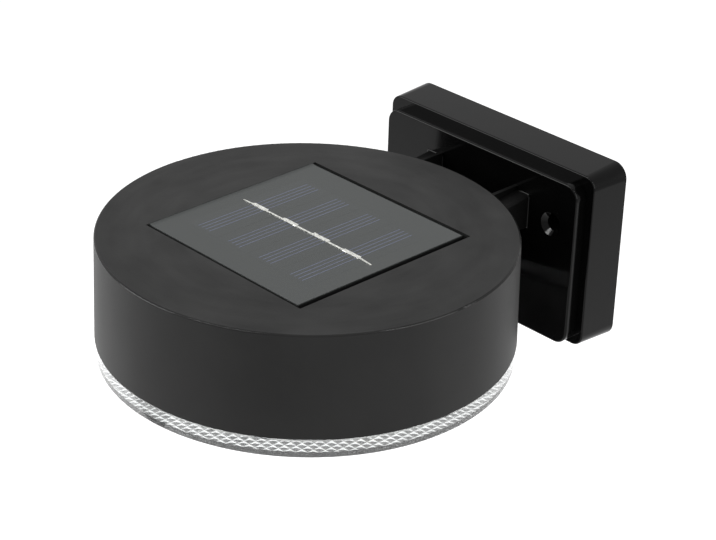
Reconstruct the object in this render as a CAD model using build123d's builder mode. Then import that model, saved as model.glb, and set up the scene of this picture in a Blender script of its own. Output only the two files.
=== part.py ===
# Solar wall light: a drum-shaped lamp head on the two prongs of a stepped wall plate.
# Millimetres. The origin lies on the wall in the middle of the plate, midway between its two screw holes.
# +Z is up, and the head stands out from the wall along -Y.

from build123d import *
import math
import os

os.makedirs("parts", exist_ok=True)

# Clearances
CLEARANCE = 0.3             # between pieces that move past each other
PRONG_FIT = 0.1             # each side of a prong in its socket
DROP_IN = 0.1               # round pieces that lie in a pocket of the same body
NEAR = 0.01                 # for picking edges by their place

# Wall plate
PLATE_WIDTH = 81.0
PLATE_HEIGHT = 54.6
PLATE_DEPTH = 12.8          # back tier, from the wall
PLATE_DRAFT = 3.5           # degrees, sides of the back tier
PLATE_WALL = 2.2
PLATE_CORNER = 4.4
SHOULDER_ROUND = 0.4        # front edge of the back tier
STEP = 4.1                  # front tier, in front of the back tier
STEP_SIDE = 2.6             # from the back tier's front outline in to the front tier, at the sides
STEP_TOP = 2.4              # at the top
STEP_BOTTOM = 0.8           # at the bottom
STEP_CORNER = 4.3
STEP_ROUND = 0.5            # front edge of the front tier
SCREW_X = 28.5              # one hole up on the right, the other down on the left
SCREW_Z = 10.1
SCREW_HOLE_R = 2.25
SCREW_SINK_R = 3.6
SCREW_BOSS_R = 5.0
RIB_THICKNESS = 1.6
RIB_SETBACK = 1.0           # ribs end this far short of the wall

# Prongs of the wall plate
PRONG_INNER = 14.0          # inner side, from the middle of the plate
PRONG_WIDTH = 6.0
PRONG_HEIGHT = 9.0          # inside the drum
PRONG_DROP = 3.8            # its top below the top of the drum
PRONG_RISE = 1.0            # how much higher it is at the plate
PRONG_RIB = 1.2             # thickness of the stop rib on its inner side
PRONG_RIB_DROP = 1.6        # top of the rib below the top of the drum
PRONG_ROOT_ROUND = 0.5
PRONG_EDGE_ROUND = 0.9

# Drum-shaped housing
HEAD_RADIUS = 57.0          # at the top
HEAD_DRAFT = 1.25           # degrees, wider towards the lens
HEAD_GAP = 9.0              # from the front of the wall plate to the drum
HEAD_TOP = 18.85            # above the middle of the plate
HOUSING_WALL = 2.0
CEILING = 2.2
RIM_ROUND = 0.5
TRAY_WALL = 2.0
TRAY_FLOOR = 1.8
SOCKET_WALL = 1.8
BOSS_R = 3.2
BOSS_INSET = 10.0           # centre of a boss, in from the inner wall
BOSS_ANGLES = (8, 172, 236, 304)

# Solar panel
RECESS = 61.4
PANEL_X = 59.3
PANEL_Y = 59.6
PANEL_SIDE_GAP = 0.1        # at the side of the recess that it is pushed against
PANEL_DROP = 0.05           # surface below the top of the drum
RESIN_SKIN = 0.25           # clear resin over the cells
CELL_THICKNESS = 0.25
CELL_COUNT = 4
CELL_PITCH = 12.15
CELL_GAP = 0.3
CELL_LENGTH = 42.0
RIBBON_LENGTH = 51.0
RIBBON_WIDTH = 1.2
RIBBON_THICKNESS = 0.15
RIBBON_Y = -0.8
BOARD_THICKNESS = 1.6
TAPE_THICKNESS = 0.65
TAPE_WIDTH = 7.0
TAPE_INSET = 1.0
LEAD_HOLE_LENGTH = 8.0
LEAD_HOLE_WIDTH = 3.4
LEAD_HOLE_Y = 14.0

# Battery and its bay
BATTERY_R = 7.25
BATTERY_LENGTH = 50.5
BATTERY_NUB_R = 2.75
BATTERY_NUB = 1.3
BATTERY_ROUND = 0.6
BATTERY_Y = -20.0           # axis, from the drum's axis
BATTERY_HEADROOM = 1.0
BATTERY_SEAT = 0.3          # above the bay's cover
BAY_WALL = 1.4
BAY_HEIGHT = 11.0
CONTACT_THICKNESS = 0.4
CONTACT_WIDTH = 9.0
CONTACT_RISE = 2.4          # solder tab above the wall of the bay
LEAF_BULGE = 2.8            # how far the sprung contact stands out
LEAF_HALF = 5.0             # half the height of the sprung leaf
LEAF_BEND = 0.5
COVER_THICKNESS = 1.2
COVER_LEDGE = 2.0           # how far the cover laps past the bay
COVER_MARGIN = 1.1          # cover outside its screw heads

# Carrier plate
CARRIER_THICKNESS = 2.4

# Circuit board and what stands on it
BOARD_X = 48.0
BOARD_Y = 33.0
BOARD_CENTRE_Y = 9.5
CIRCUIT_THICKNESS = 1.6
POST_HEIGHT = 1.6
POST_R = 2.6
POST_EDGE = 4.0             # post axis, in from the edges of the board
LED_COUNT = 3
LED_PITCH = 14.0
LED_R = 2.5
LED_FLANGE_R = 2.9
LED_FLANGE = 1.0
LED_LENGTH = 7.2
LED_Y = 6.0
CHIP_X = 5.0
CHIP_Y = 4.0
CHIP_HEIGHT = 1.5
CHIP_LEGS = 4
CHIP_LEG = 1.0
CHIP_PLACE = (12.0, 18.0)
INDUCTOR_R = 1.8
INDUCTOR_LENGTH = 8.0
INDUCTOR_LEG_R = 0.35
INDUCTOR_PLACE = (-12.0, 0.5)

# Slide switch
SWITCH_X = 9.0
SWITCH_Y = 4.4
SWITCH_HEIGHT = 3.6
SWITCH_PLACE = (-14.0, 18.0)
SWITCH_TRAVEL = 2.0
KNOB_X = 2.2
KNOB_Y = 1.8
KNOB_DEPTH = 1.4            # of the knob inside the body
KNOB_REACH = 2.6            # of the knob below the body
KNOB_EDGE = 0.3

# Lens and its bayonet
LENS_HEIGHT = 5.6           # from the drum to the lowest point
LENS_FLOOR = 1.5
LENS_WALL = 1.3
LENS_LEDGE = 0.6            # under the seal, between wall and skirt
LENS_STEP = 0.3             # lens side, in from the drum's lower edge
LENS_EDGE_ROUND = 0.3
SKIRT_RISE = 6.3            # skirt inside the drum
SKIRT_WALL = 1.6
SKIRT_TOP_GAP = 0.4         # below the carrier
SEAL_THICKNESS = 0.5
SEAL_LIP = 0.7              # wall of the lens outside the seal
BAYONET_COUNT = 3
BAYONET_START = 30          # degrees, place of the first pin
BAYONET_TWIST = 15          # degrees
PIN_SPAN = 6                # degrees
PIN_HEIGHT = 1.8
PIN_BRIDGE = 2.0            # skirt above the run of the slot

# Screws
SCREW_R = 1.4
SCREW_HEAD_R = 2.7
SCREW_HEAD = 1.5
SCREW_LENGTH = 8.0
SCREW_SLOT = 0.7            # width of the cross in the head
SMALL_SCREW_R = 1.0
SMALL_SCREW_HEAD_R = 1.9
SMALL_SCREW_HEAD = 1.1
SMALL_SCREW_LENGTH = 5.0
BOARD_SCREW_LENGTH = 4.0
PILOT_GAP = 0.05            # round a screw in its plastic hole
PILOT_SPARE = 1.0           # plastic hole past the end of the screw
PASS_GAP = 0.25             # round a screw in a clearance hole
SCREW_BOSS_WALL = 1.6       # plastic round a small screw

# Leads
LEAD_R = 0.6
LEAD_BEND = 1.8
LEAD_DROP = 4.0
PANEL_PAD_X = 7.0
PANEL_PAD_Y = 17.0
BATTERY_PAD_X = 19.0
BATTERY_PAD_Y = -3.5

# Depths below the top of the drum, from the panel down to the lens
cell_top = PANEL_DROP + RESIN_SKIN
board_top = cell_top + CELL_THICKNESS
board_bottom = board_top + BOARD_THICKNESS
recess_depth = board_bottom + TAPE_THICKNESS
tray_bottom = recess_depth + TRAY_FLOOR
battery_axis = tray_bottom + BATTERY_HEADROOM + BATTERY_R
carrier_top = battery_axis + BATTERY_R + BATTERY_SEAT
carrier_bottom = carrier_top + CARRIER_THICKNESS
skirt_top = carrier_bottom + SKIRT_TOP_GAP
housing_height = skirt_top + SKIRT_RISE
seal_top = housing_height + DROP_IN
lens_shoulder = seal_top + SEAL_THICKNESS
lens_bottom = housing_height + LENS_HEIGHT
circuit_bottom = carrier_top - POST_HEIGHT
circuit_top = circuit_bottom - CIRCUIT_THICKNESS
bay_top = carrier_top - BAY_HEIGHT

# Places along Y
plate_front = PLATE_DEPTH + STEP
head_y = -(plate_front + HEAD_GAP + HEAD_RADIUS)
socket_end = RECESS / 2 + TRAY_WALL + SOCKET_WALL / 2
prong_tip = socket_end + CLEARANCE

# Radii
draft_slope = math.tan(math.radians(HEAD_DRAFT))


def outer_radius(depth):
    """Radius of the drum's outside at a depth below its top."""
    return HEAD_RADIUS + depth * draft_slope


def inner_radius(depth):
    """Radius of the drum's inside at a depth below its top."""
    return outer_radius(depth) - HOUSING_WALL


def head_level(depth):
    """Level plane on the drum's axis, at a depth below its top."""
    return Plane(origin=(0, head_y, HEAD_TOP - depth))


def head_point(x, y, depth):
    """Point given from the drum's axis and a depth below its top."""
    return (x, head_y + y, HEAD_TOP - depth)


def polar(radius, angle):
    """Point at a radius and an angle in degrees about the drum's axis."""
    return (radius * math.cos(math.radians(angle)), radius * math.sin(math.radians(angle)))


def ring_sector(inner, outer, middle, span):
    """Flat piece of a ring between two radii, centred on an angle."""
    start = middle - span / 2
    with BuildSketch() as sector:
        with BuildLine():
            CenterArc((0, 0), outer, start, span)
            CenterArc((0, 0), inner, start, span)
            Line(polar(inner, start), polar(outer, start))
            Line(polar(inner, start + span), polar(outer, start + span))
        make_face()
    return sector.sketch


def pan_screw(radius, head_radius, head, length):
    """Self-tapping screw with a cross recess, pointing up, its seat at the origin."""
    with BuildPart() as screw:
        Cylinder(head_radius, head, align=(Align.CENTER, Align.CENTER, Align.MAX))
        fillet(screw.edges().group_by(Axis.Z)[0], radius=head / 2)
        Cylinder(radius, length, align=(Align.CENTER, Align.CENTER, Align.MIN))
        chamfer(screw.edges().group_by(Axis.Z)[-1], length=radius / 2)
        with Locations((0, 0, -head)):
            Box(2 * radius, SCREW_SLOT, head, mode=Mode.SUBTRACT)
            Box(SCREW_SLOT, 2 * radius, head, mode=Mode.SUBTRACT)
    return screw.part


def lead(points, bend):
    """Insulated lead: a round wire on straight runs joined by arcs."""
    with BuildPart() as wire:
        with BuildLine() as route:
            FilletPolyline(*points, radius=bend)
        with BuildSketch(Plane(origin=points[0], z_dir=route.line % 0)):
            Circle(LEAD_R)
        sweep()
    return wire.part


def save(part, name):
    """Label a finished piece and write it."""
    part.label = name
    export_step(part, f"parts/{name}.step")


HEAD_AXIS = Axis(head_point(0, 0, 0), (0, 0, 1))
HEAD_SECTION = Plane(origin=head_point(0, 0, 0), x_dir=(0, 1, 0), z_dir=(1, 0, 0))
WALL = Plane(origin=(0, 0, 0), x_dir=(1, 0, 0), z_dir=(0, -1, 0))

# Wall plate: stepped open-backed box with two screw bosses, two ribs and two prongs with stop ribs
plate_run = PLATE_DEPTH * math.tan(math.radians(PLATE_DRAFT))
step_width = PLATE_WIDTH - 2 * (plate_run + STEP_SIDE)
step_height = PLATE_HEIGHT - 2 * plate_run - STEP_TOP - STEP_BOTTOM
step_middle = (STEP_BOTTOM - STEP_TOP) / 2
prong_outer = PRONG_INNER + PRONG_WIDTH
prong_top = HEAD_TOP - PRONG_DROP
prong_bottom = prong_top - PRONG_HEIGHT
prong_root = PLATE_WALL / 2 - plate_front
prong_end = head_y + prong_tip
drum_back = head_y + math.sqrt(HEAD_RADIUS**2 - PRONG_INNER**2) + CLEARANCE
rib_x = PRONG_INNER + PRONG_WIDTH / 2
screw_holes = [(SCREW_X, SCREW_Z), (-SCREW_X, -SCREW_Z)]

with BuildPart() as prong:
    with BuildSketch(Plane.YZ.offset(PRONG_INNER)):
        with BuildLine():
            Polyline(
                (prong_root, prong_bottom),
                (prong_end, prong_bottom),
                (prong_end, prong_top),
                (drum_back, prong_top),
                (-plate_front, prong_top + PRONG_RISE),
                (prong_root, prong_top + PRONG_RISE),
                close=True,
            )
        make_face()
    extrude(amount=PRONG_WIDTH)

with BuildPart() as stop_rib:
    with BuildSketch(Plane.YZ.offset(PRONG_INNER)):
        with BuildLine():
            Polyline(
                (prong_root, prong_bottom + PRONG_ROOT_ROUND),
                (drum_back, prong_bottom + PRONG_ROOT_ROUND),
                (drum_back, HEAD_TOP - PRONG_RIB_DROP),
                (prong_root, HEAD_TOP - PRONG_RIB_DROP),
                close=True,
            )
        make_face()
    extrude(amount=PRONG_RIB)

with BuildPart() as wall_plate:
    with BuildSketch(WALL):
        RectangleRounded(PLATE_WIDTH, PLATE_HEIGHT, PLATE_CORNER)
    extrude(amount=PLATE_DEPTH, taper=PLATE_DRAFT)
    fillet(wall_plate.faces().sort_by(Axis.Y)[0].edges(), radius=SHOULDER_ROUND)
    with BuildSketch(WALL):
        with Locations((0, step_middle)):
            RectangleRounded(step_width, step_height, STEP_CORNER)
    extrude(amount=plate_front)
    fillet(wall_plate.faces().sort_by(Axis.Y)[0].edges(), radius=STEP_ROUND)
    with BuildSketch(WALL):
        inside_width = PLATE_WIDTH - 2 * PLATE_WALL
        inside_height = PLATE_HEIGHT - 2 * PLATE_WALL
        RectangleRounded(inside_width, inside_height, PLATE_CORNER - PLATE_WALL)
    extrude(amount=PLATE_DEPTH - PLATE_WALL, taper=PLATE_DRAFT, mode=Mode.SUBTRACT)
    with BuildSketch(WALL):
        with Locations((0, step_middle)):
            Rectangle(step_width - 2 * PLATE_WALL, step_height - 2 * PLATE_WALL)
    extrude(amount=plate_front - PLATE_WALL, mode=Mode.SUBTRACT)
    with BuildSketch(WALL.offset(RIB_SETBACK)):
        with Locations((-rib_x, step_middle), (rib_x, step_middle)):
            Rectangle(RIB_THICKNESS, step_height - PLATE_WALL)
    extrude(amount=plate_front - PLATE_WALL / 2 - RIB_SETBACK)
    with BuildSketch(WALL):
        with Locations(*screw_holes):
            Circle(SCREW_BOSS_R)
    extrude(amount=plate_front - PLATE_WALL / 2)
    add(prong.part)
    add(prong.part.mirror(Plane.YZ))
    on_plate = wall_plate.edges().filter_by(lambda e: abs(e.center().Y + plate_front) < NEAR)
    fillet(on_plate.filter_by(lambda e: abs(e.center().X) < prong_outer + NEAR), radius=PRONG_ROOT_ROUND)
    on_slope = wall_plate.edges().filter_by(lambda e: prong_top < e.center().Z < prong_top + PRONG_RISE)
    fillet(on_slope.filter_by(lambda e: abs(abs(e.center().X) - prong_outer) < NEAR), radius=PRONG_EDGE_ROUND)
    add(stop_rib.part)
    add(stop_rib.part.mirror(Plane.YZ))
    with Locations(*[Plane((x, -plate_front, z), z_dir=(0, -1, 0)) for x, z in screw_holes]):
        CounterSinkHole(SCREW_HOLE_R, SCREW_SINK_R, counter_sink_angle=90)
save(wall_plate.part, "wall_plate")

# Housing: drafted drum with panel tray, screw bosses, prong sockets and bayonet pins
skirt_outer = inner_radius(skirt_top) - CLEARANCE
skirt_inner = skirt_outer - SKIRT_WALL
carrier_radius = skirt_inner - CLEARANCE
boss_points = [polar(inner_radius(CEILING) - BOSS_INSET, angle) for angle in BOSS_ANGLES]
pin_angles = [BAYONET_START + 360 * i / BAYONET_COUNT for i in range(BAYONET_COUNT)]
slot_top = skirt_top + PIN_BRIDGE
pin_bottom = slot_top + CLEARANCE + PIN_HEIGHT
slot_bottom = pin_bottom + CLEARANCE
socket_x = PRONG_INNER + PRONG_WIDTH / 2
socket_width = PRONG_WIDTH + 2 * PRONG_FIT
socket_height = PRONG_HEIGHT + 2 * PRONG_FIT
socket_bottom = PRONG_DROP - PRONG_FIT + socket_height
sleeve_bottom = socket_bottom + SOCKET_WALL
sleeve_start = socket_end - SOCKET_WALL
inside_wall = inner_radius(CEILING) + HOUSING_WALL / 2

with BuildPart() as housing:
    with BuildSketch(HEAD_SECTION):
        with BuildLine():
            Polyline(
                (0, 0),
                (HEAD_RADIUS, 0),
                (outer_radius(housing_height), -housing_height),
                (inner_radius(housing_height), -housing_height),
                (inner_radius(CEILING), -CEILING),
                (0, -CEILING),
                close=True,
            )
        make_face()
    revolve(axis=HEAD_AXIS)
    fillet(housing.edges().filter_by(GeomType.CIRCLE).sort_by(Axis.Z)[-1], radius=RIM_ROUND)
    with BuildSketch(head_level(tray_bottom)):
        Rectangle(RECESS + 2 * TRAY_WALL, RECESS + 2 * TRAY_WALL)
    extrude(amount=tray_bottom - CEILING / 2)
    with BuildSketch(head_level(carrier_top)):
        with Locations(*boss_points):
            Circle(BOSS_R)
    extrude(amount=carrier_top - CEILING / 2)
    with BuildSketch(head_level(sleeve_bottom)):
        with Locations((-socket_x, sleeve_start), (socket_x, sleeve_start)):
            Rectangle(socket_width + 2 * SOCKET_WALL, HEAD_RADIUS, align=(Align.CENTER, Align.MIN))
        Circle(inside_wall, mode=Mode.INTERSECT)
    extrude(amount=sleeve_bottom - CEILING / 2)
    with BuildSketch(head_level(pin_bottom)):
        for angle in pin_angles:
            add(ring_sector(skirt_inner, inside_wall, angle, PIN_SPAN))
    extrude(amount=PIN_HEIGHT)
    with BuildSketch(head_level(0)):
        Rectangle(RECESS, RECESS)
    extrude(amount=-recess_depth, mode=Mode.SUBTRACT)
    with BuildSketch(head_level(recess_depth)):
        with Locations((0, LEAD_HOLE_Y)):
            SlotOverall(LEAD_HOLE_LENGTH, LEAD_HOLE_WIDTH)
    extrude(amount=-TRAY_FLOOR, mode=Mode.SUBTRACT)
    with BuildSketch(head_level(carrier_top)):
        with Locations(*boss_points):
            Circle(SCREW_R + PILOT_GAP)
    extrude(amount=SCREW_LENGTH - CARRIER_THICKNESS + PILOT_SPARE, mode=Mode.SUBTRACT)
    with BuildSketch(head_level(socket_bottom)):
        with Locations((-socket_x, socket_end), (socket_x, socket_end)):
            Rectangle(socket_width, HEAD_RADIUS, align=(Align.CENTER, Align.MIN))
    extrude(amount=socket_height, mode=Mode.SUBTRACT)
save(housing.part, "housing")

# Solar panel: tape frame, board, cells, ribbon and clear resin
panel_x = PANEL_SIDE_GAP + PANEL_X / 2 - RECESS / 2

with BuildPart() as panel_tape:
    with BuildSketch(head_level(recess_depth)):
        with Locations((panel_x, 0)):
            Rectangle(PANEL_X - 2 * TAPE_INSET, PANEL_Y - 2 * TAPE_INSET)
            window = 2 * (TAPE_INSET + TAPE_WIDTH)
            Rectangle(PANEL_X - window, PANEL_Y - window, mode=Mode.SUBTRACT)
    extrude(amount=TAPE_THICKNESS)
save(panel_tape.part, "panel_tape")

with BuildPart() as panel_board:
    with BuildSketch(head_level(board_bottom)):
        with Locations((panel_x, 0)):
            Rectangle(PANEL_X, PANEL_Y)
    extrude(amount=BOARD_THICKNESS)
save(panel_board.part, "panel_board")

with BuildPart() as solar_cells:
    with BuildSketch(head_level(board_top)):
        with Locations((panel_x, 0)):
            with GridLocations(CELL_PITCH, CELL_LENGTH, CELL_COUNT, 1):
                Rectangle(CELL_PITCH - CELL_GAP, CELL_LENGTH)
    extrude(amount=CELL_THICKNESS)
save(solar_cells.part, "solar_cells")

with BuildPart() as cell_ribbon:
    with BuildSketch(head_level(cell_top)):
        with Locations((panel_x, RIBBON_Y)):
            Rectangle(RIBBON_LENGTH, RIBBON_WIDTH)
    extrude(amount=RIBBON_THICKNESS)
save(cell_ribbon.part, "cell_ribbon")

with BuildPart() as panel_resin:
    with BuildSketch(head_level(board_top)):
        with Locations((panel_x, 0)):
            Rectangle(PANEL_X, PANEL_Y)
    extrude(amount=board_top - PANEL_DROP)
    add(solar_cells.part, mode=Mode.SUBTRACT)
    add(cell_ribbon.part, mode=Mode.SUBTRACT)
save(panel_resin.part, "panel_resin")

# Carrier: white plate with the battery bay, two board posts and holes for LEDs and switch
bay_x = 2 * CONTACT_THICKNESS + 2 * DROP_IN + BATTERY_LENGTH + LEAF_BULGE
bay_y = 2 * (BATTERY_R + CLEARANCE)
cover_boss_r = SMALL_SCREW_R + SCREW_BOSS_WALL
cover_screw_x = bay_x / 2 + BAY_WALL + cover_boss_r
cover_x = 2 * (cover_screw_x + SMALL_SCREW_HEAD_R + COVER_MARGIN)
cover_y = bay_y + 2 * COVER_LEDGE
cover_screws = [(-cover_screw_x, BATTERY_Y), (cover_screw_x, BATTERY_Y)]
cover_top = carrier_bottom - COVER_THICKNESS
cover_boss = SMALL_SCREW_LENGTH - CARRIER_THICKNESS + PILOT_SPARE
post_points = [(POST_EDGE - BOARD_X / 2, BOARD_CENTRE_Y), (BOARD_X / 2 - POST_EDGE, BOARD_CENTRE_Y)]
led_points = [(LED_PITCH * (i - (LED_COUNT - 1) / 2), LED_Y) for i in range(LED_COUNT)]
board_pilot = BOARD_SCREW_LENGTH - CIRCUIT_THICKNESS + PILOT_GAP

with BuildPart() as carrier:
    with BuildSketch(head_level(carrier_bottom)):
        Circle(carrier_radius)
    extrude(amount=CARRIER_THICKNESS)
    with BuildSketch(head_level(carrier_top)):
        with Locations((0, BATTERY_Y)):
            Rectangle(bay_x + 2 * BAY_WALL, bay_y + 2 * BAY_WALL)
    extrude(amount=BAY_HEIGHT)
    with BuildSketch(head_level(carrier_top)):
        with Locations(*cover_screws):
            Circle(cover_boss_r)
    extrude(amount=cover_boss)
    with BuildSketch(head_level(carrier_top)):
        with Locations(*post_points):
            Circle(POST_R)
    extrude(amount=POST_HEIGHT)
    with BuildSketch(head_level(carrier_bottom)):
        with Locations((0, BATTERY_Y)):
            Rectangle(bay_x, bay_y)
    extrude(amount=CARRIER_THICKNESS + BAY_HEIGHT, mode=Mode.SUBTRACT)
    with BuildSketch(head_level(carrier_bottom)):
        with Locations((0, BATTERY_Y)):
            Rectangle(cover_x + 2 * DROP_IN, cover_y + 2 * DROP_IN)
    extrude(amount=COVER_THICKNESS, mode=Mode.SUBTRACT)
    with BuildSketch(head_level(carrier_bottom)):
        with Locations(*boss_points):
            Circle(SCREW_R + PASS_GAP)
        with Locations(*led_points):
            Circle(LED_R + CLEARANCE)
        with Locations(SWITCH_PLACE):
            Rectangle(SWITCH_X + 2 * CLEARANCE, SWITCH_Y + 2 * CLEARANCE)
    extrude(amount=CARRIER_THICKNESS, mode=Mode.SUBTRACT)
    with BuildSketch(head_level(carrier_bottom)):
        with Locations(*cover_screws):
            Circle(SMALL_SCREW_R + PILOT_GAP)
    extrude(amount=SMALL_SCREW_LENGTH + PILOT_GAP, mode=Mode.SUBTRACT)
    with BuildSketch(head_level(circuit_bottom)):
        with Locations(*post_points):
            Circle(SMALL_SCREW_R + PILOT_GAP)
    extrude(amount=-board_pilot, mode=Mode.SUBTRACT)
save(carrier.part, "carrier")

large_screw = pan_screw(SCREW_R, SCREW_HEAD_R, SCREW_HEAD, SCREW_LENGTH)
with BuildPart() as carrier_screws:
    with Locations(*[head_point(x, y, carrier_bottom) for x, y in boss_points]):
        add(large_screw)
save(carrier_screws.part, "carrier_screws")

# Battery, lying along X with its plus end at -X, and its two contacts
contact_left = -bay_x / 2
battery_tip = contact_left + CONTACT_THICKNESS + DROP_IN
battery_end = battery_tip + BATTERY_LENGTH
tab_top = bay_top - CONTACT_RISE
contact_bottom = carrier_top

with BuildPart() as battery:
    with BuildSketch(Plane(origin=head_point(battery_end, BATTERY_Y, battery_axis), z_dir=(-1, 0, 0))):
        Circle(BATTERY_R)
    extrude(amount=BATTERY_LENGTH - BATTERY_NUB)
    fillet(battery.edges().filter_by(GeomType.CIRCLE), radius=BATTERY_ROUND)
    with BuildSketch(Plane(origin=head_point(battery_end, BATTERY_Y, battery_axis), z_dir=(-1, 0, 0))):
        Circle(BATTERY_NUB_R)
    extrude(amount=BATTERY_LENGTH)
save(battery.part, "battery")

with BuildPart() as battery_contact_plus:
    contact_foot = head_point(contact_left, BATTERY_Y, contact_bottom)
    with BuildSketch(Plane(origin=contact_foot, x_dir=(0, 1, 0), z_dir=(1, 0, 0))):
        Rectangle(CONTACT_WIDTH, contact_bottom - tab_top, align=(Align.CENTER, Align.MIN))
    extrude(amount=CONTACT_THICKNESS)
save(battery_contact_plus.part, "battery_contact_plus")

leaf_x = bay_x / 2 - CONTACT_THICKNESS / 2
with BuildPart() as battery_contact_minus:
    with BuildSketch(Plane(origin=head_point(0, BATTERY_Y, 0), x_dir=(1, 0, 0), z_dir=(0, -1, 0))):
        with BuildLine():
            FilletPolyline(
                (leaf_x, -tab_top),
                (leaf_x, -battery_axis - LEAF_HALF),
                (leaf_x - LEAF_BULGE, -battery_axis),
                (leaf_x - LEAF_BULGE / 2, LEAF_HALF / 2 - battery_axis),
                radius=LEAF_BEND,
            )
        trace(line_width=CONTACT_THICKNESS)
    extrude(amount=CONTACT_WIDTH / 2, both=True)
save(battery_contact_minus.part, "battery_contact_minus")

# Cover of the battery bay, with two ribs that the cell lies on
with BuildPart() as battery_cover:
    with BuildSketch(head_level(carrier_bottom)):
        with Locations((0, BATTERY_Y)):
            Rectangle(cover_x, cover_y)
        with Locations(*cover_screws):
            Circle(SMALL_SCREW_R + PASS_GAP, mode=Mode.SUBTRACT)
    extrude(amount=COVER_THICKNESS)
    with BuildSketch(head_level(cover_top)):
        with Locations((0, BATTERY_Y)):
            with GridLocations(BATTERY_LENGTH / 2, BAY_WALL, 2, 1):
                Rectangle(BAY_WALL, BATTERY_R)
    extrude(amount=cover_top - battery_axis - BATTERY_R - DROP_IN)
save(battery_cover.part, "battery_cover")

cover_screw = pan_screw(SMALL_SCREW_R, SMALL_SCREW_HEAD_R, SMALL_SCREW_HEAD, SMALL_SCREW_LENGTH)
with BuildPart() as battery_cover_screws:
    with Locations(*[head_point(x, y, carrier_bottom) for x, y in cover_screws]):
        add(cover_screw)
save(battery_cover_screws.part, "battery_cover_screws")

# Circuit board on the carrier's posts
with BuildPart() as control_board:
    with BuildSketch(head_level(circuit_bottom)):
        with Locations((0, BOARD_CENTRE_Y)):
            Rectangle(BOARD_X, BOARD_Y)
        with Locations(*post_points):
            Circle(SMALL_SCREW_R + PASS_GAP, mode=Mode.SUBTRACT)
    extrude(amount=CIRCUIT_THICKNESS)
save(control_board.part, "control_board")

board_screw = pan_screw(SMALL_SCREW_R, SMALL_SCREW_HEAD_R, SMALL_SCREW_HEAD, BOARD_SCREW_LENGTH)
with BuildPart() as board_screws:
    with Locations(*[Location(head_point(x, y, circuit_top), (180, 0, 0)) for x, y in post_points]):
        add(board_screw)
save(board_screws.part, "board_screws")

with BuildPart() as leds:
    with BuildSketch(head_level(circuit_bottom)):
        with Locations(*led_points):
            Circle(LED_FLANGE_R)
    extrude(amount=-LED_FLANGE)
    with BuildSketch(head_level(circuit_bottom)):
        with Locations(*led_points):
            Circle(LED_R)
    extrude(amount=LED_R - LED_LENGTH)
    with Locations(*[head_point(x, y, circuit_bottom + LED_LENGTH - LED_R) for x, y in led_points]):
        Sphere(LED_R)
save(leds.part, "leds")

with BuildPart() as driver_chip:
    with BuildSketch(head_level(circuit_top)):
        with Locations(CHIP_PLACE):
            Rectangle(CHIP_X, CHIP_Y)
    extrude(amount=CHIP_HEIGHT)
    with BuildSketch(head_level(circuit_top)):
        with Locations(CHIP_PLACE):
            with GridLocations(CHIP_X / CHIP_LEGS, CHIP_Y, CHIP_LEGS, 1):
                Rectangle(CHIP_X / CHIP_LEGS / 3, CHIP_Y + 2 * CHIP_LEG)
    extrude(amount=CHIP_LEG / 4)
save(driver_chip.part, "driver_chip")

inductor_axis = circuit_top - INDUCTOR_R - INDUCTOR_LEG_R
inductor_x, inductor_y = INDUCTOR_PLACE
leg_x = INDUCTOR_LENGTH / 2 + 3 * INDUCTOR_LEG_R
with BuildPart() as inductor:
    with BuildLine() as legs:
        FilletPolyline(
            head_point(inductor_x - leg_x, inductor_y, circuit_top),
            head_point(inductor_x - leg_x, inductor_y, inductor_axis),
            head_point(inductor_x + leg_x, inductor_y, inductor_axis),
            head_point(inductor_x + leg_x, inductor_y, circuit_top),
            radius=2 * INDUCTOR_LEG_R,
        )
    with BuildSketch(Plane(origin=legs.line @ 0, z_dir=legs.line % 0)):
        Circle(INDUCTOR_LEG_R)
    sweep()
    with Locations(Location(head_point(inductor_x, inductor_y, inductor_axis), (0, 90, 0))):
        Cylinder(INDUCTOR_R, INDUCTOR_LENGTH)
save(inductor.part, "inductor")

# Slide switch under the board, with its knob at the off end
switch_x, switch_y = SWITCH_PLACE
switch_bottom = circuit_bottom + SWITCH_HEIGHT
with BuildPart() as switch_body:
    with BuildSketch(head_level(circuit_bottom)):
        with Locations(SWITCH_PLACE):
            Rectangle(SWITCH_X, SWITCH_Y)
    extrude(amount=-SWITCH_HEIGHT)
    with BuildSketch(head_level(switch_bottom)):
        with Locations(SWITCH_PLACE):
            Rectangle(KNOB_X + SWITCH_TRAVEL + 2 * CLEARANCE, KNOB_Y + 2 * CLEARANCE)
    extrude(amount=KNOB_DEPTH + CLEARANCE, mode=Mode.SUBTRACT)
save(switch_body.part, "switch_body")

with BuildPart() as switch_knob:
    with BuildSketch(head_level(switch_bottom - KNOB_DEPTH)):
        with Locations((switch_x - SWITCH_TRAVEL / 2, switch_y)):
            Rectangle(KNOB_X, KNOB_Y)
    extrude(amount=-KNOB_DEPTH - KNOB_REACH)
    chamfer(switch_knob.edges().group_by(Axis.Z)[0], length=KNOB_EDGE)
save(switch_knob.part, "switch_knob")

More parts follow.
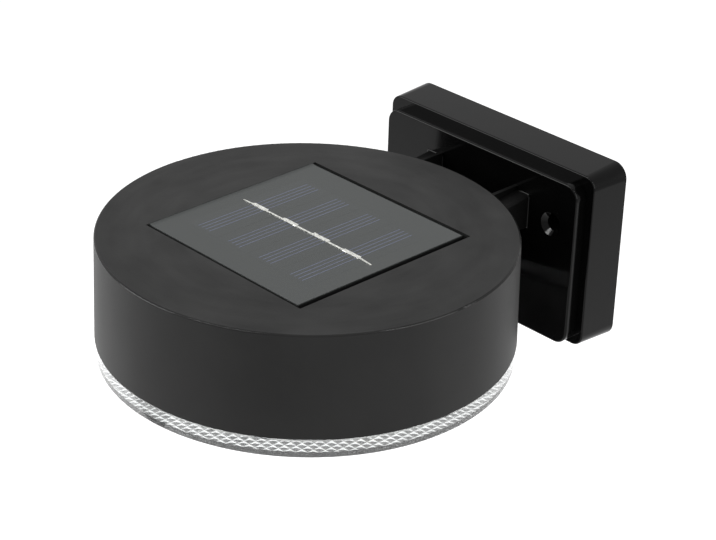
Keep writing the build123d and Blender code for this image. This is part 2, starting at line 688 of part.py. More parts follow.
# Leads from the panel and the battery contacts to the board
for side, colour in ((-1, "red"), (1, "black")):
    hole_x = side * (LEAD_HOLE_LENGTH / 4)
    pad_x = side * PANEL_PAD_X
    panel_lead = lead(
        [
            head_point(hole_x, LEAD_HOLE_Y, board_bottom),
            head_point(hole_x, LEAD_HOLE_Y, tray_bottom + LEAD_DROP),
            head_point(pad_x, PANEL_PAD_Y, tray_bottom + 2 * LEAD_DROP),
            head_point(pad_x, PANEL_PAD_Y, circuit_top),
        ],
        LEAD_BEND,
    )
    save(panel_lead, f"panel_lead_{colour}")
    tab_x = side * bay_x / 2
    turn_x = side * (bay_x / 2 + BAY_WALL + LEAD_DROP)
    tab_depth = bay_top - CONTACT_RISE / 2
    battery_lead = lead(
        [
            head_point(tab_x, BATTERY_Y, tab_depth),
            head_point(turn_x, BATTERY_Y, tab_depth),
            head_point(turn_x, BATTERY_PAD_Y, tab_depth + LEAD_DROP / 2),
            head_point(side * BATTERY_PAD_X, BATTERY_PAD_Y, tab_depth + LEAD_DROP),
            head_point(side * BATTERY_PAD_X, BATTERY_PAD_Y, circuit_top),
        ],
        LEAD_BEND,
    )
    save(battery_lead, f"battery_lead_{colour}")

# Lens: clear dish whose skirt hangs on the drum's pins in three L-shaped slots, with a lip round the seal
lens_outer = outer_radius(housing_height) - LENS_STEP
lens_floor_top = lens_bottom - LENS_FLOOR
lens_inner = lens_outer - LENS_WALL
ledge_bottom = lens_shoulder + LENS_LEDGE
lip_top = housing_height + CLEARANCE
lip_inner = lens_outer - SEAL_LIP
slot_play = math.degrees(CLEARANCE / skirt_inner)
slot_span = PIN_SPAN + 2 * slot_play

with BuildPart() as lens:
    with BuildSketch(HEAD_SECTION):
        with BuildLine():
            Polyline(
                (0, -lens_bottom),
                (lens_outer, -lens_bottom),
                (lens_outer, -lip_top),
                (lip_inner, -lip_top),
                (lip_inner, -lens_shoulder),
                (skirt_outer, -lens_shoulder),
                (skirt_outer, -skirt_top),
                (skirt_inner, -skirt_top),
                (skirt_inner, -ledge_bottom),
                (lens_inner, -ledge_bottom),
                (lens_inner, -lens_floor_top),
                (0, -lens_floor_top),
                close=True,
            )
        make_face()
    revolve(axis=HEAD_AXIS)
    fillet(lens.edges().filter_by(GeomType.CIRCLE).sort_by(Axis.Z)[0], radius=LENS_EDGE_ROUND)
    with BuildSketch(head_level(slot_bottom)):
        for angle in pin_angles:
            entry = angle - BAYONET_TWIST
            add(ring_sector(skirt_inner - SKIRT_WALL, skirt_outer + SKIRT_WALL, entry, slot_span))
    extrude(amount=slot_bottom - skirt_top, mode=Mode.SUBTRACT)
    with BuildSketch(head_level(slot_bottom)):
        for angle in pin_angles:
            middle = angle - BAYONET_TWIST / 2
            span = slot_span + BAYONET_TWIST
            add(ring_sector(skirt_inner - SKIRT_WALL, skirt_outer + SKIRT_WALL, middle, span))
    extrude(amount=slot_bottom - slot_top, mode=Mode.SUBTRACT)
save(lens.part, "lens")

with BuildPart() as lens_seal:
    with BuildSketch(head_level(lens_shoulder)):
        Circle(lip_inner - DROP_IN)
        Circle(skirt_outer + DROP_IN, mode=Mode.SUBTRACT)
    extrude(amount=SEAL_THICKNESS)
save(lens_seal.part, "lens_seal")
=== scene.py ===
import math
import bmesh
import bpy
from mathutils import Matrix, Vector


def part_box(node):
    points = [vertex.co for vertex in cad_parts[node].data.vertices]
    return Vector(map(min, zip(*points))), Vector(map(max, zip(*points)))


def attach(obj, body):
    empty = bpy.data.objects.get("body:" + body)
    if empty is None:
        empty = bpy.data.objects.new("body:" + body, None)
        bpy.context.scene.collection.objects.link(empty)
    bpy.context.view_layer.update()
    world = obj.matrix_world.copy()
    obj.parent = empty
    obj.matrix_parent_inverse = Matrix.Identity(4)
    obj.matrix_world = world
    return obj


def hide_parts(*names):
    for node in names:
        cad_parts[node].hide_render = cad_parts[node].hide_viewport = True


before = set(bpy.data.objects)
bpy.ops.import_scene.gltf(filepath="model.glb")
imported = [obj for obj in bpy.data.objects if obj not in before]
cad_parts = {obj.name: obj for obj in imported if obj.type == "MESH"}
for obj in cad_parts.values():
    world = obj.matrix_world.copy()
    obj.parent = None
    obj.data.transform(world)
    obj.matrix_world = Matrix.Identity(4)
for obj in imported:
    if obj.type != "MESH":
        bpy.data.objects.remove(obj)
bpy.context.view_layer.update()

# Wall plate
# A stepped box of black plastic, open at the back and screwed to the wall through two countersunk
# holes. It is moulded in a polished tool, so it mirrors the lamp, and handling leaves faint smears.
# The two prongs that carry the head are duller, from the head sliding on and off.
MM = 0.001
PRONG_START = -17.2 * MM
PRONG_DULLNESS = 0.35
SMEAR_SIZE = 14 * MM
RIPPLE_SIZE = 9 * MM
RIPPLE_DEPTH = 0.012 * MM


class Value:
    """An output socket of a material. Arithmetic on it adds Math nodes to that material."""

    def __init__(self, socket):
        self.socket = socket

    def node(self, kind, settings, sockets, output=0):
        """Add any node: its settings are set first, then the values or links of its sockets."""
        made = self.socket.id_data.nodes.new(kind)
        for name, setting in settings.items():
            setattr(made, name, setting)
        for name, source in sockets.items():
            if isinstance(source, Value):
                made.id_data.links.new(source.socket, made.inputs[name])
            else:
                made.inputs[name].default_value = source
        return Value(made.outputs[output])

    def math(self, operation, first, second=0.0):
        return self.node("ShaderNodeMath", {"operation": operation}, {0: first, 1: second})

    def __add__(self, other):
        return self.math("ADD", self, other)

    def __sub__(self, other):
        return self.math("SUBTRACT", self, other)

    def __rsub__(self, other):
        return self.math("SUBTRACT", other, self)

    def __mul__(self, other):
        return self.math("MULTIPLY", self, other)

    __radd__ = __add__
    __rmul__ = __mul__

    def noise(self, size, detail):
        """Noise from 0 to 1 on these coordinates, with blotches of about that size in metres."""
        return self.node("ShaderNodeTexNoise", {}, {"Vector": self, "Scale": 1 / size, "Detail": detail})

    def along(self, axis):
        """One of these coordinates, X, Y or Z, in metres."""
        return self.node("ShaderNodeSeparateXYZ", {}, {"Vector": self}, axis)

    def blend(self, low, high):
        """Colour between two colours, by this value from 0 to 1."""
        sockets = {"Factor": self, 6: (*low, 1), 7: (*high, 1)}
        return self.node("ShaderNodeMix", {"data_type": "RGBA"}, sockets, 2)

    def span(self, low, high):
        """This value from 0 to 1 spread over a range."""
        return self * (high - low) + low


def start_finish(name, **constants):
    """New material: the material, its shader and the Object coordinates of the piece."""
    material = bpy.data.materials.new(name)
    material.use_nodes = True
    shader = material.node_tree.nodes["Principled BSDF"]
    for socket, value in constants.items():
        shader.inputs[socket.replace("_", " ")].default_value = value
    coords = material.node_tree.nodes.new("ShaderNodeTexCoord").outputs["Object"]
    return material, shader, Value(coords)


def feed(shader, socket, value):
    """Link a value to a socket of a shader."""
    shader.id_data.links.new(value.socket, shader.inputs[socket])


def relief(shader, height, depth):
    """Let a height from 0 to 1 raise the surface by up to a depth in metres."""
    bump = height.node("ShaderNodeBump", {}, {"Height": height, "Distance": depth, "Strength": 1.0})
    feed(shader, "Normal", bump)


def dress(node, material):
    """Give a CAD node a finish in place of its plain one."""
    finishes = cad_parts[node].data.materials
    finishes.clear()
    finishes.append(material)


plate_gloss, shader, coords = start_finish("plate_gloss", IOR=1.2)
smears = coords.noise(SMEAR_SIZE, detail=3.0)
feed(shader, "Base Color", smears.blend((0.0008, 0.0008, 0.0008), (0.0016, 0.0016, 0.0016)))
away = coords.along("Y")
prongs = away.math("LESS_THAN", away, PRONG_START)
feed(shader, "Roughness", smears.span(0.06, 0.16) + prongs * PRONG_DULLNESS)
relief(shader, coords.noise(RIPPLE_SIZE, detail=1.0), RIPPLE_DEPTH)
dress("wall_plate", plate_gloss)

# Drum housing
# The drum of the lamp head, moulded in black plastic with a fine spark-eroded texture that looks
# matte. Faint flow marks run round its top, and its rim is rubbed smooth. It hangs on two prongs.
HEAD_Y = -82.9 * MM
RIM_RADIUS = 56.5 * MM
RIM_LOW = 18.4 * MM
RIM_POLISH = 0.33
TOP_LOW = 18.8 * MM
BLOTCH_SIZE = 17 * MM
FLOW_SIZE = 5 * MM
FLOW_STRETCH = 0.25
SIDE_MARKS = 0.7
TOP_MARKS = 1.9
GRAIN_SIZE = 0.35 * MM
GRAIN_DEPTH = 0.02 * MM
drum_matte, shader, coords = start_finish("drum_matte", IOR=1.25)
across = coords.along("X")
away = coords.along("Y") - HEAD_Y
height = coords.along("Z")
radius = away.math("SQRT", across * across + away * away)
round_drum = {"X": radius, "Y": across * FLOW_STRETCH, "Z": away * FLOW_STRETCH}
flow = radius.node("ShaderNodeCombineXYZ", {}, round_drum)
marks = coords.noise(BLOTCH_SIZE, detail=4.0) * 0.5 + flow.noise(FLOW_SIZE, detail=3.0) * 0.5
top = height.math("GREATER_THAN", height, TOP_LOW)
marks = (marks - 0.5) * top.span(SIDE_MARKS, TOP_MARKS) + 0.5
feed(shader, "Base Color", marks.blend((0.002, 0.002, 0.002), (0.017, 0.017, 0.0167)))
grain = coords.noise(GRAIN_SIZE, detail=2.0)
rim = radius.math("GREATER_THAN", radius, RIM_RADIUS) * height.math("GREATER_THAN", height, RIM_LOW)
feed(shader, "Roughness", (grain * 0.5 + marks * 0.5).span(0.56, 0.38) - rim * RIM_POLISH)
relief(shader, grain, GRAIN_DEPTH)
dress("housing", drum_matte)

# Solar panel
# A laminate stuck into the recess with foam tape: board, four dark silicon cells with printed silver
# fingers, one tinned ribbon soldered across the cells, and clear resin cast over it all.
BOARD_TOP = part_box("panel_board")[1][2]
CELL_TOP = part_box("solar_cells")[1][2]


def drifting(name, dark, light, rough, size, pits=0.0, **constants):
    """Finish whose colour and roughness drift over blotches, with pits of a depth if it has any."""
    material, shader, coords = start_finish(name, **constants)
    drift = coords.noise(size, detail=3.0)
    feed(shader, "Base Color", drift.blend(dark, light))
    feed(shader, "Roughness", drift.span(*rough))
    if pits:
        relief(shader, drift, pits)
    return material


foam = drifting(
    "foam_tape", (0.006, 0.006, 0.006), (0.014, 0.014, 0.013), (0.7, 0.9), 0.4 * MM, pits=0.05 * MM
)
dress("panel_tape", foam)
board_black = drifting(
    "board_black", (0.0015, 0.0015, 0.0015), (0.003, 0.003, 0.003), (0.6, 0.8), 3 * MM, IOR=1.25
)
dress("panel_board", board_black)
silicon = drifting(
    "cell_silicon", (0.018, 0.021, 0.021), (0.025, 0.028, 0.028), (0.34, 0.42), 9 * MM, IOR=1.46
)
dress("solar_cells", silicon)

# Bedding film
# The dark film that the cells are bedded in, laminated to the board under heat. It fills the board
# up to the cells' top and climbs the recess wall on the left.
NEAR = 0.005 * MM
BEDDING_DROP = 0.01 * MM
BEDDING_EDGE = 0.05 * MM
BEDDING_TOP = CELL_TOP - BEDDING_DROP
BEDDING_SHORT = 0.3 * MM
BOARD_LOW, BOARD_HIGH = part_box("panel_board")
WALL_GAP = 0.095 * MM
WALL_X = BOARD_LOW[0] - WALL_GAP
# how far from the wall, and how high the film stands there
CLIMB = ((0.0, 0.24 * MM), (0.35 * MM, 0.13 * MM), (0.8 * MM, 0.05 * MM), (1.5 * MM, 0.0))
# edges that bend by more than this stay sharp
SMOOTH_ANGLE = math.radians(19)


def take(piece):
    """Make a piece the only one that is selected, and the active one."""
    bpy.ops.object.select_all(action="DESELECT")
    piece.select_set(True)
    bpy.context.view_layer.objects.active = piece


def settle(name):
    """Name the primitive just added and put its place into its mesh."""
    piece = bpy.context.object
    piece.name = name
    bpy.ops.object.transform_apply(location=True, rotation=True, scale=True)
    return piece


def block(name, low, high):
    """Start a piece as a block between two corners, open in edit mode."""
    low, high = Vector(low), Vector(high)
    bpy.ops.object.select_all(action="DESELECT")
    bpy.ops.mesh.primitive_cube_add(size=1, location=(low + high) / 2, scale=high - low)
    piece = settle(name)
    bpy.ops.object.mode_set(mode="EDIT")
    return piece


def pick(kind, wanted):
    """In edit mode, select the vertices, edges or faces whose middle passes a test."""
    bpy.ops.mesh.select_mode(type=kind)
    bpy.ops.mesh.select_all(action="DESELECT")
    mesh = bpy.context.object.data
    form = bmesh.from_edit_mesh(mesh)
    for part in {"VERT": form.verts, "EDGE": form.edges, "FACE": form.faces}[kind]:
        corners = [part.co] if kind == "VERT" else [corner.co for corner in part.verts]
        if wanted(sum(corners, Vector()) / len(corners)):
            part.select_set(True)
    bmesh.update_edit_mesh(mesh)


def cut_across(x):
    """In edit mode, cut the whole piece by an upright plane at this X, and keep both sides."""
    bpy.ops.mesh.select_all(action="SELECT")
    bpy.ops.mesh.bisect(plane_co=(x, 0, 0), plane_no=(1, 0, 0))


def close(piece, body, material):
    """Finish a piece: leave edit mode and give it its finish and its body."""
    bpy.ops.object.mode_set(mode="OBJECT")
    take(piece)
    bpy.ops.object.shade_smooth_by_angle(angle=SMOOTH_ANGLE)
    piece.data.materials.append(material)
    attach(piece, body)


bedding = block(
    "bedding_film",
    (WALL_X, BOARD_LOW[1] + BEDDING_SHORT, BOARD_TOP - NEAR),
    (BOARD_HIGH[0] - BEDDING_SHORT, BOARD_HIGH[1] - NEAR, BEDDING_TOP),
)
pick("EDGE", lambda place: place.z > BEDDING_TOP - NEAR and place.x > WALL_X + NEAR)
bpy.ops.mesh.bevel(offset=BEDDING_EDGE, segments=2)
for reach, rise in CLIMB[1:]:
    cut_across(WALL_X + reach)
for reach, rise in CLIMB:
    pick("VERT", lambda place: abs(place.x - WALL_X - reach) < NEAR and place.z > BOARD_TOP + NEAR)
    bpy.ops.transform.translate(value=(0, 0, rise))
laminate = drifting(
    "panel_laminate", (0.018, 0.021, 0.021), (0.025, 0.028, 0.027), (0.34, 0.42), 9 * MM, IOR=1.47
)
close(bedding, "head", laminate)

# Printed fingers
# Four thin lines on each cell that gather its current. They are screened onto the silicon in silver
# paste and fired, so they stand hardly above it.
FINGER_WIDTH = 0.20 * MM
FINGER_HEIGHT = 0.02 * MM
FINGER_ROUND = 0.006 * MM
FINGER_PITCH = 1.49 * MM
FINGERS_PER_CELL = 4
CELL_PITCH = 12.28 * MM
CELLS = 4
FIRST_FINGER_X = -21.75 * MM
FINGER_ENDS = (-19.9 * MM, 19.6 * MM)
fingers = block(
    "cell_fingers",
    (FIRST_FINGER_X - FINGER_WIDTH / 2, HEAD_Y + FINGER_ENDS[0], CELL_TOP - NEAR),
    (FIRST_FINGER_X + FINGER_WIDTH / 2, HEAD_Y + FINGER_ENDS[1], CELL_TOP + FINGER_HEIGHT),
)
pick("EDGE", lambda place: place.z > CELL_TOP + FINGER_HEIGHT - NEAR)
bpy.ops.mesh.bevel(offset=FINGER_ROUND, segments=2)
bpy.ops.object.mode_set(mode="OBJECT")
for count, pitch in ((FINGERS_PER_CELL, FINGER_PITCH), (CELLS, CELL_PITCH)):
    row = fingers.modifiers.new("row", "ARRAY")
    row.use_relative_offset = False
    row.use_constant_offset = True
    row.constant_offset_displace = (pitch, 0, 0)
    row.count = count
    bpy.ops.object.modifier_apply(modifier="row")
silver_paste = drifting(
    "silver_paste", (0.083, 0.096, 0.158), (0.116, 0.132, 0.203), (0.4, 0.5), 2 * MM, IOR=1.5
)
close(fingers, "head", silver_paste)

# Tinned ribbon
# A strip of tinned copper that joins the four cells, laid across them and soldered by hand. It is
# thin between the cells, and the solder lies wide and uneven on each.
RIBBON_ENDS = (-25.8 * MM, 25.1 * MM)
RIBBON_Y = HEAD_Y - 0.2 * MM
RIBBON_WIDTH = 0.5 * MM
RIBBON_HEIGHT = 0.15 * MM
RIBBON_TAPER = 0.5
RIBBON_STRAY = (-0.15 * MM, -0.4 * MM)
SOLDER_WIDEN = 2.5
SOLDER_CUTS = 7
SOLDER_SLOPE = 0.2 * MM
SOLDER_JITTER = 0.13 * MM
# in millimetres: start and end of the solder along the ribbon, and its step to the side
SOLDER = ((-22.0, -16.6, 0.22), (-10.1, -4.6, 0.26), (2.0, 8.0, 0.28), (14.0, 20.1, 0.1))
LUMP_SIZE = 0.55 * MM
LUMP_CONTRAST = 3.0
LUMP_HEIGHT = 0.05 * MM
ribbon = block(
    "soldered_ribbon",
    (RIBBON_ENDS[0], RIBBON_Y - RIBBON_WIDTH / 2, CELL_TOP - NEAR),
    (RIBBON_ENDS[1], RIBBON_Y + RIBBON_WIDTH / 2, CELL_TOP + RIBBON_HEIGHT),
)
for seed, (start, end, aside) in enumerate(SOLDER, 1):
    cuts = [(start + (end - start) * cut / SOLDER_CUTS) * MM for cut in range(SOLDER_CUTS + 1)]
    for cut in (cuts[0] - SOLDER_SLOPE, *cuts, cuts[-1] + SOLDER_SLOPE):
        cut_across(cut)
    pick("VERT", lambda place: cuts[0] - NEAR < place.x < cuts[-1] + NEAR)
    bpy.ops.transform.resize(value=(1, SOLDER_WIDEN, 1), center_override=(0, RIBBON_Y, CELL_TOP))
    bpy.ops.transform.translate(value=(0, aside * MM, 0))
    bpy.ops.transform.vertex_random(offset=SOLDER_JITTER, seed=seed)
for end, stray in zip(RIBBON_ENDS, RIBBON_STRAY):
    pick("VERT", lambda place: abs(place.x - end) < NEAR)
    bpy.ops.transform.resize(value=(1, RIBBON_TAPER, 1), center_override=(0, RIBBON_Y, CELL_TOP))
    bpy.ops.transform.translate(value=(0, stray, 0))
tinned, shader, coords = start_finish("tinned", Metallic=1.0)
lumps = (coords.noise(LUMP_SIZE, detail=2.0) - 0.5) * LUMP_CONTRAST + 0.5
feed(shader, "Base Color", lumps.blend((0.42, 0.42, 0.40), (1.0, 1.0, 0.95)))
feed(shader, "Roughness", lumps.span(0.6, 0.35))
relief(shader, lumps, LUMP_HEIGHT)
close(ribbon, "head", tinned)
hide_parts("cell_ribbon")

# Cast resin
# A clear skin poured over the finished panel and left to cure with a satin top. It has run against
# the recess wall on the left.
RESIN_LOW, RESIN_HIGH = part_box("panel_resin")
RESIN_EDGE = 0.08 * MM
RESIN_RUN = 0.10 * MM
RESIN_ROOT = 0.05 * MM
resin = block(
    "resin_cover",
    (RESIN_LOW[0] - RESIN_RUN, RESIN_LOW[1], BOARD_TOP - RESIN_ROOT),
    RESIN_HIGH,
)
pick("EDGE", lambda place: place.z > RESIN_HIGH[2] - NEAR)
bpy.ops.mesh.bevel(offset=RESIN_EDGE, segments=3)
satin = drifting(
    "resin_satin",
    (0.10, 0.11, 0.105),
    (0.13, 0.14, 0.135),
    (0.26, 0.34),
    30 * MM,
    Specular_IOR_Level=0.0,
    Alpha=0.05,
)
close(resin, "head", satin)
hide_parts("panel_resin")

# Carrier and battery
# A white plate that closes the drum and throws the light down, held by four screws. The battery lies
# in its bay between two pressed contacts, under a screwed cover.
carrier_white = drifting("carrier_white", (0.83, 0.83, 0.81), (0.89, 0.89, 0.87), (0.25, 0.4), 18 * MM)
dress("carrier", carrier_white)
dress("battery_cover", carrier_white)
zinc = drifting("zinc_plate", (0.52, 0.53, 0.55), (0.68, 0.69, 0.70), (0.22, 0.42), 0.6 * MM, Metallic=1.0)
for node in ("carrier_screws", "battery_cover_screws", "board_screws"):
    dress(node, zinc)
sleeve = drifting("cell_sleeve", (0.035, 0.19, 0.07), (0.045, 0.24, 0.09), (0.2, 0.32), 7 * MM)
dress("battery", sleeve)
nickel = drifting(
    "nickel_strip", (0.58, 0.56, 0.52), (0.70, 0.68, 0.64), (0.2, 0.4), 1.2 * MM, Metallic=1.0
)
dress("battery_contact_plus", nickel)
dress("battery_contact_minus", nickel)

# Control board and leads
# A green circuit board on two posts of the carrier, with the driver chip, a coil, three warm white
# LEDs that look down through the carrier, a slide switch and sleeved leads.
solder_mask = drifting("solder_mask", (0.012, 0.10, 0.03), (0.018, 0.14, 0.045), (0.22, 0.36), 1.5 * MM)
dress("control_board", solder_mask)
epoxy = drifting(
    "led_epoxy", (0.88, 0.80, 0.55), (0.95, 0.90, 0.70), (0.05, 0.12), 2 * MM, Transmission_Weight=0.5
)
dress("leds", epoxy)
chip = drifting(
    "chip_epoxy", (0.010, 0.010, 0.011), (0.016, 0.016, 0.017), (0.5, 0.65), 0.3 * MM, pits=0.01 * MM
)
dress("driver_chip", chip)
ferrite = drifting(
    "ferrite", (0.020, 0.019, 0.018), (0.035, 0.033, 0.030), (0.4, 0.6), 0.5 * MM, pits=0.02 * MM
)
dress("inductor", ferrite)
switch_black = drifting(
    "switch_black", (0.012, 0.012, 0.012), (0.018, 0.018, 0.018), (0.4, 0.55), 1.0 * MM
)
dress("switch_body", switch_black)
knob_white = drifting("knob_white", (0.68, 0.68, 0.65), (0.77, 0.77, 0.74), (0.35, 0.5), 1.5 * MM)
dress("switch_knob", knob_white)
red_sleeving = drifting("red_sleeving", (0.36, 0.012, 0.010), (0.46, 0.020, 0.016), (0.35, 0.5), 2 * MM)
black_sleeving = drifting(
    "black_sleeving", (0.008, 0.008, 0.008), (0.014, 0.014, 0.014), (0.35, 0.5), 2 * MM
)
for circuit in ("panel", "battery"):
    dress(f"{circuit}_lead_red", red_sleeving)
    dress(f"{circuit}_lead_black", black_sleeving)

# Lens and seal
# A clear acrylic dish under the drum. Small pyramids moulded inside its floor scatter the light. A
# skirt welded into it has three slots for the bayonet pins, and a silicone ring seals it to the drum.
LENS_RADIUS = 57.34 * MM
LENS_BOTTOM = -16.25 * MM
LENS_EDGE = 0.3 * MM
LIP_TOP = -10.95 * MM
LIP_INNER = 56.64 * MM
GROOVE_FLOOR = -11.25 * MM
SKIRT_OUTER = 55.21 * MM
SKIRT_INNER = 53.61 * MM
SKIRT_TOP = -4.35 * MM
LEDGE_UNDER = -11.85 * MM
CAVITY_RADIUS = 56.04 * MM
FLOOR_TOP = -15.05 * MM
ROUND_STEPS = 240
# from the lip inwards, as radius and height
DISH_STEPS = (
    (LIP_INNER, LIP_TOP),
    (LIP_INNER, GROOVE_FLOOR),
    (SKIRT_OUTER, GROOVE_FLOOR),
    (SKIRT_OUTER, SKIRT_TOP),
    (SKIRT_INNER, SKIRT_TOP),
    (SKIRT_INNER, LEDGE_UNDER),
    (CAVITY_RADIUS, LEDGE_UNDER),
    (CAVITY_RADIUS, FLOOR_TOP),
)


def disc(name, radius, low, high):
    """Start a piece as a round disc on the head's axis."""
    bpy.ops.object.select_all(action="DESELECT")
    bpy.ops.mesh.primitive_cylinder_add(
        vertices=ROUND_STEPS, radius=radius, depth=high - low, location=(0, HEAD_Y, (low + high) / 2)
    )
    return settle(name)


def carve(piece, tool, operation):
    """Join a tool piece to a piece, cut it out or keep what both share, and delete the tool."""
    take(piece)
    cut = piece.modifiers.new("carve", "BOOLEAN")
    cut.operation = operation
    cut.solver = "EXACT"
    cut.object = tool
    bpy.ops.object.modifier_apply(modifier="carve")
    bpy.data.objects.remove(tool)


dish = disc("lens_dish", LENS_RADIUS, LENS_BOTTOM, LIP_TOP)
bpy.ops.object.mode_set(mode="EDIT")
pick("EDGE", lambda place: place.z < LENS_BOTTOM + NEAR)
bpy.ops.mesh.bevel(offset=LENS_EDGE, segments=5)
pick("FACE", lambda place: place.z > LIP_TOP - NEAR)
radius, height = LENS_RADIUS, LIP_TOP
for next_radius, next_height in DISH_STEPS:
    bpy.ops.mesh.extrude_region_move(TRANSFORM_OT_translate={"value": (0, 0, next_height - height)})
    ratio = next_radius / radius
    bpy.ops.transform.resize(value=(ratio, ratio, 1), center_override=(0, HEAD_Y, next_height))
    radius, height = next_radius, next_height
bpy.ops.object.mode_set(mode="OBJECT")

# pyramids: a grid with every square raised to a point, closed below, trimmed round and joined to the floor
PYRAMID_PITCH = 2.08 * MM
PYRAMID_HEIGHT = 0.29 * MM
PYRAMID_ROW = 56
# how far they reach down into the floor and out into the wall
PYRAMID_ROOT = 0.5 * MM
WALL_HOLD = 0.5 * MM
TRIM_LOW = FLOOR_TOP - 2 * PYRAMID_ROOT
TRIM_HIGH = FLOOR_TOP + 2 * PYRAMID_HEIGHT
bpy.ops.object.select_all(action="DESELECT")
bpy.ops.mesh.primitive_grid_add(
    x_subdivisions=PYRAMID_ROW,
    y_subdivisions=PYRAMID_ROW,
    size=PYRAMID_ROW * PYRAMID_PITCH,
    location=(0, HEAD_Y, FLOOR_TOP),
)
pyramids = settle("lens_pyramids")
bpy.ops.object.mode_set(mode="EDIT")
bpy.ops.mesh.select_mode(type="FACE")
bpy.ops.mesh.select_all(action="SELECT")
bpy.ops.mesh.poke(offset=PYRAMID_HEIGHT)
bpy.ops.mesh.select_all(action="SELECT")
bpy.ops.mesh.region_to_loop()
bpy.ops.mesh.extrude_region_move(TRANSFORM_OT_translate={"value": (0, 0, -PYRAMID_ROOT)})
bpy.ops.mesh.edge_face_add()
bpy.ops.mesh.select_all(action="SELECT")
bpy.ops.mesh.normals_make_consistent(inside=False)
bpy.ops.object.mode_set(mode="OBJECT")
trim = disc("trim", CAVITY_RADIUS + WALL_HOLD, TRIM_LOW, TRIM_HIGH)
carve(pyramids, trim, "INTERSECT")
carve(dish, pyramids, "UNION")

# bayonet slots: a run for the pin and its entry from the top
PIN_ANGLES = (30, 150, 270)
# degrees on from the pin to the slot's middle, degrees across, bottom and top
SLOT_RUN = (-7.5, 21.6, -8.75 * MM, -6.35 * MM)
SLOT_ENTRY = (-15.0, 6.6, -8.75 * MM, -3.0 * MM)
SLOT_PAST_SKIRT = 0.1
to_axis = Matrix.Translation((0, HEAD_Y, 0))
for turn_on, span, low, high in (SLOT_RUN, SLOT_ENTRY):
    half = SKIRT_INNER * math.sin(math.radians(span / 2))
    for pin in PIN_ANGLES:
        slot = block(
            "slot",
            (SKIRT_INNER * (1 - SLOT_PAST_SKIRT), HEAD_Y - half, low),
            (SKIRT_OUTER * (1 + SLOT_PAST_SKIRT), HEAD_Y + half, high),
        )
        bpy.ops.object.mode_set(mode="OBJECT")
        turn = Matrix.Rotation(math.radians(pin + turn_on), 4, "Z")
        slot.data.transform(to_axis @ turn @ to_axis.inverted())
        carve(dish, slot, "DIFFERENCE")
acrylic = drifting(
    "clear_acrylic",
    (0.88, 0.89, 0.89),
    (0.92, 0.93, 0.93),
    (0.0, 0.03),
    12 * MM,
    IOR=1.49,
    Transmission_Weight=0.95,
)
close(dish, "lens", acrylic)
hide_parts("lens")
silicone = drifting("silicone", (0.55, 0.55, 0.54), (0.66, 0.66, 0.65), (0.4, 0.55), 3 * MM)
dress("lens_seal", silicone)

# Camera, floor and light
# The camera stands where the photograph was taken. The lamp hangs well above a pale floor, in
# the even light of a white studio.
CAMERA_PLACE = Vector((373.8, -429.6, 275.65)) * MM
AZIMUTH = 45.62
ELEVATION = 27.76
ROLL = 1.76
FOCAL_PIXELS = 2135.6
IMAGE_WIDTH = 716
SENSOR = 36.0
NEAREST_SEEN = 0.01

azimuth = math.radians(AZIMUTH)
elevation = math.radians(ELEVATION)
level_right = Vector((math.cos(azimuth), math.sin(azimuth), 0))
level_back = Vector((math.sin(azimuth), -math.cos(azimuth), 0))
back = level_back * math.cos(elevation) + Vector((0, 0, math.sin(elevation)))
level_up = back.cross(level_right)
turn = Matrix((level_right, level_up, back)).transposed().to_4x4()
roll = Matrix.Rotation(math.radians(ROLL), 4, "Z")
bpy.ops.object.select_all(action="DESELECT")
bpy.ops.object.camera_add()
camera = bpy.context.object
camera.matrix_world = Matrix.Translation(CAMERA_PLACE) @ turn @ roll
camera.data.sensor_width = SENSOR
camera.data.lens = FOCAL_PIXELS * SENSOR / IMAGE_WIDTH
camera.data.clip_start = NEAREST_SEEN
bpy.context.scene.camera = camera
bpy.context.scene.view_settings.view_transform = "Standard"

FLOOR_DROP = 0.5
FLOOR_SIZE = 12.0
FLOOR_PALE = (0.95, 0.95, 0.95, 1)
FLOOR_GLOW = 0.45


def background_rays(tree):
    """1 for rays that show the background, 0 for those that carry its light to the lamp."""
    path = tree.nodes.new("ShaderNodeLightPath")
    seen = Value(path.outputs["Is Camera Ray"]) + Value(path.outputs["Is Glossy Ray"])
    seen = seen + Value(path.outputs["Is Transmission Ray"])
    return seen.math("MINIMUM", seen, 1.0)


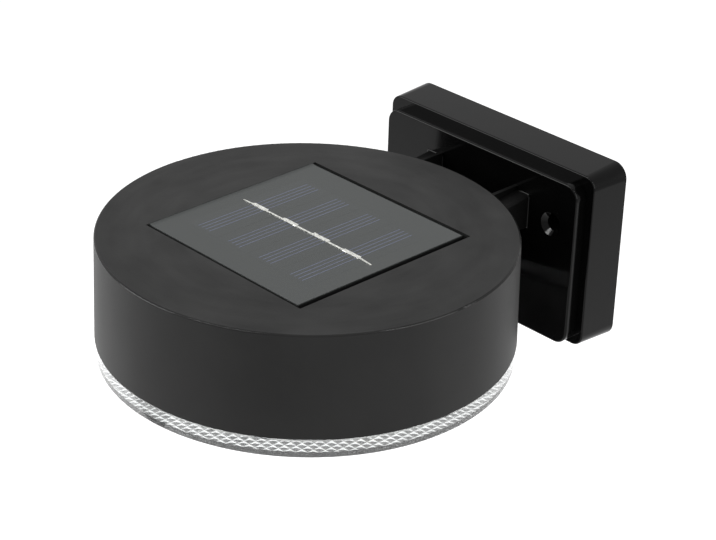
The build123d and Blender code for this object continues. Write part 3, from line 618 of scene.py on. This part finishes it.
bpy.ops.mesh.primitive_plane_add(size=FLOOR_SIZE, location=(0, 0, -FLOOR_DROP))
floor = bpy.context.object
floor.name = "floor"
pale, shader, coords = start_finish("pale_floor", Roughness=0.9, Specular_IOR_Level=0.1)
shader.inputs["Base Color"].default_value = FLOOR_PALE
shader.inputs["Emission Strength"].default_value = 1.0
feed(shader, "Emission Color", background_rays(pale.node_tree) * FLOOR_GLOW)
floor.data.materials.append(pale)

# black card on the floor to the left, seen only in reflections: it keeps the plate's gloss dark
CARD_PLACE = (-0.52, -0.68, 0.003 - FLOOR_DROP)
CARD_SIZE = 0.28
bpy.ops.mesh.primitive_plane_add(size=CARD_SIZE, location=CARD_PLACE)
card = bpy.context.object
card.name = "black_card"
card.visible_camera = False
card.visible_transmission = False
card.visible_diffuse = False
card.visible_shadow = False
card_black = drifting("card_black", (0.004, 0.004, 0.004), (0.008, 0.008, 0.008), (0.8, 0.9), 0.05)
card.data.materials.append(card_black)

WORLD_FILL = 0.45
world = bpy.data.worlds.new("studio")
bpy.context.scene.world = world
world.use_nodes = True
background = world.node_tree.nodes["Background"]
strength = background_rays(world.node_tree).span(WORLD_FILL, 1.0)
world.node_tree.links.new(strength.socket, background.inputs["Strength"])
background.inputs["Color"].default_value = (1, 1, 1, 1)

LIGHT_AIM = Vector((0, -0.08, 0))


def softbox(name, place, width, height, power):
    """Soft light that looks at the lamp head, in metres and watts."""
    bpy.ops.object.light_add(type="AREA", location=place)
    light = bpy.context.object
    light.name = name
    light.data.shape = "RECTANGLE"
    light.data.size = width
    light.data.size_y = height
    light.data.energy = power
    light.rotation_euler = (LIGHT_AIM - Vector(place)).to_track_quat("-Z", "Y").to_euler()


softbox("overhead", (-0.2, -0.1, 1.1), 1.0, 1.0, 0.5)
softbox("left_window", (-0.8, -1.0, 0.4), 0.8, 0.8, 14.0)
softbox("right_window", (1.1, 0.3, 0.4), 0.8, 0.8, 9.5)
softbox("front_strip", (-0.1, -0.8, 0.95), 0.7, 0.08, 5.5)
softbox("right_key", (0.85, 0.1, 1.05), 0.2, 0.2, 3.0)
